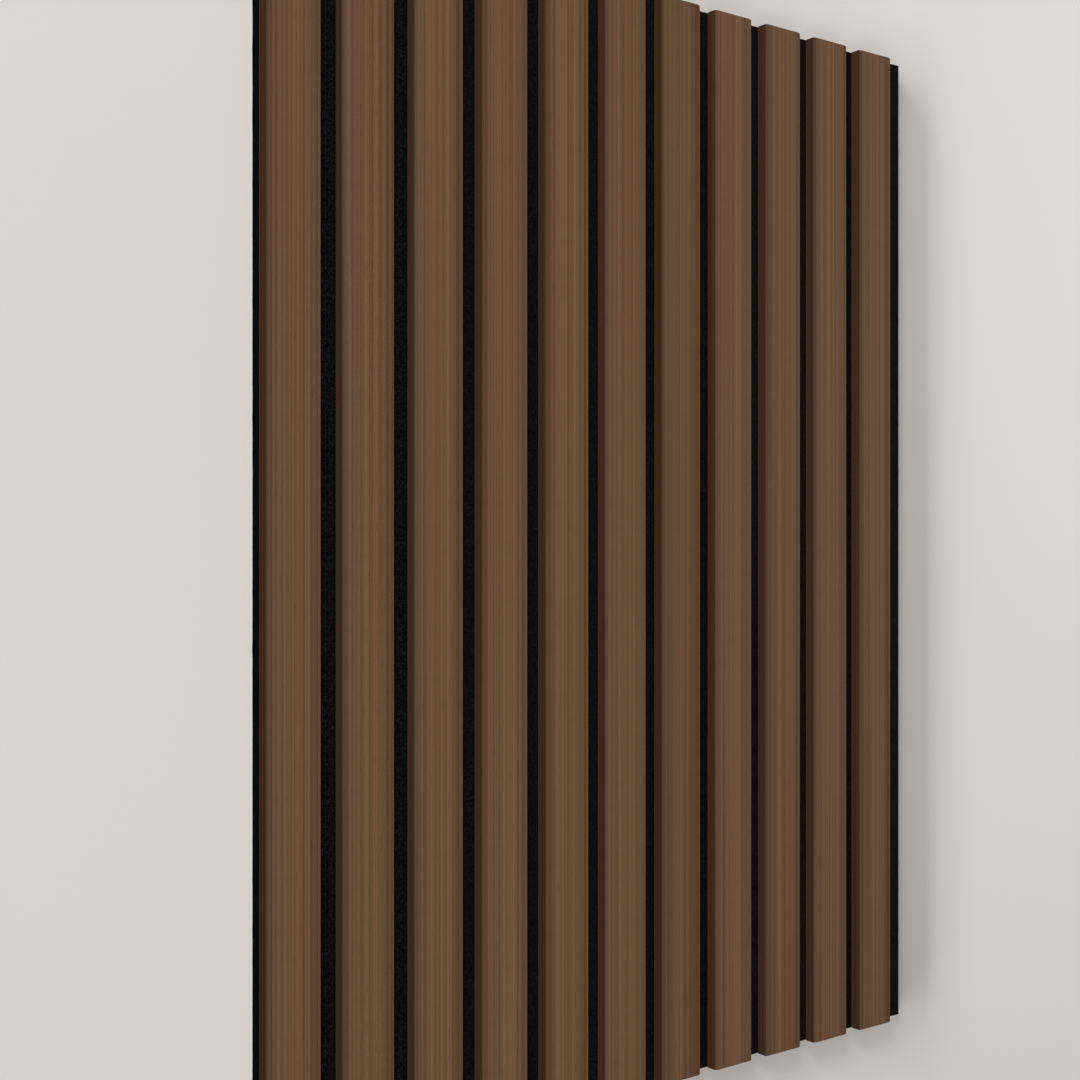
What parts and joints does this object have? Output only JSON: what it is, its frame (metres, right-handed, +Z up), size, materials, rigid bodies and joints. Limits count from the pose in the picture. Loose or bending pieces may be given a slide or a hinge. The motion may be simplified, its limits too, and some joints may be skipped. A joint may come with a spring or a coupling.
{
  "type": "ribbed wall panel",
  "caption": "Wall panel of upright wood-veneered slats with rolled front edges on a black sound-absorbing felt board, fixed flat to a wall by its back.",
  "frame": {"origin": "middle of the flat back face of the felt, where the panel meets the wall", "axes": "+X across the slats, to the right seen from the room; +Y into the wall, square to the back face; +Z up, along the slats"},
  "size_m": [0.6, 0.0185, 0.8],
  "materials": {
    "slat_veneer": "straight-grained smoked walnut veneer, satin",
    "black_felt": "pressed polyester felt, matte",
    "staple_wire": "galvanised flat wire"
  },
  "bodies": {
    "root": {"felt_backing": "black_felt", "slat_01": "slat_veneer", "slat_02": "slat_veneer", "slat_03": "slat_veneer", "slat_04": "slat_veneer", "slat_05": "slat_veneer", "slat_06": "slat_veneer", "slat_07": "slat_veneer", "slat_08": "slat_veneer", "slat_09": "slat_veneer", "slat_10": "slat_veneer", "slat_11": "slat_veneer", "staples": "staple_wire"}
  },
  "joints": []
}
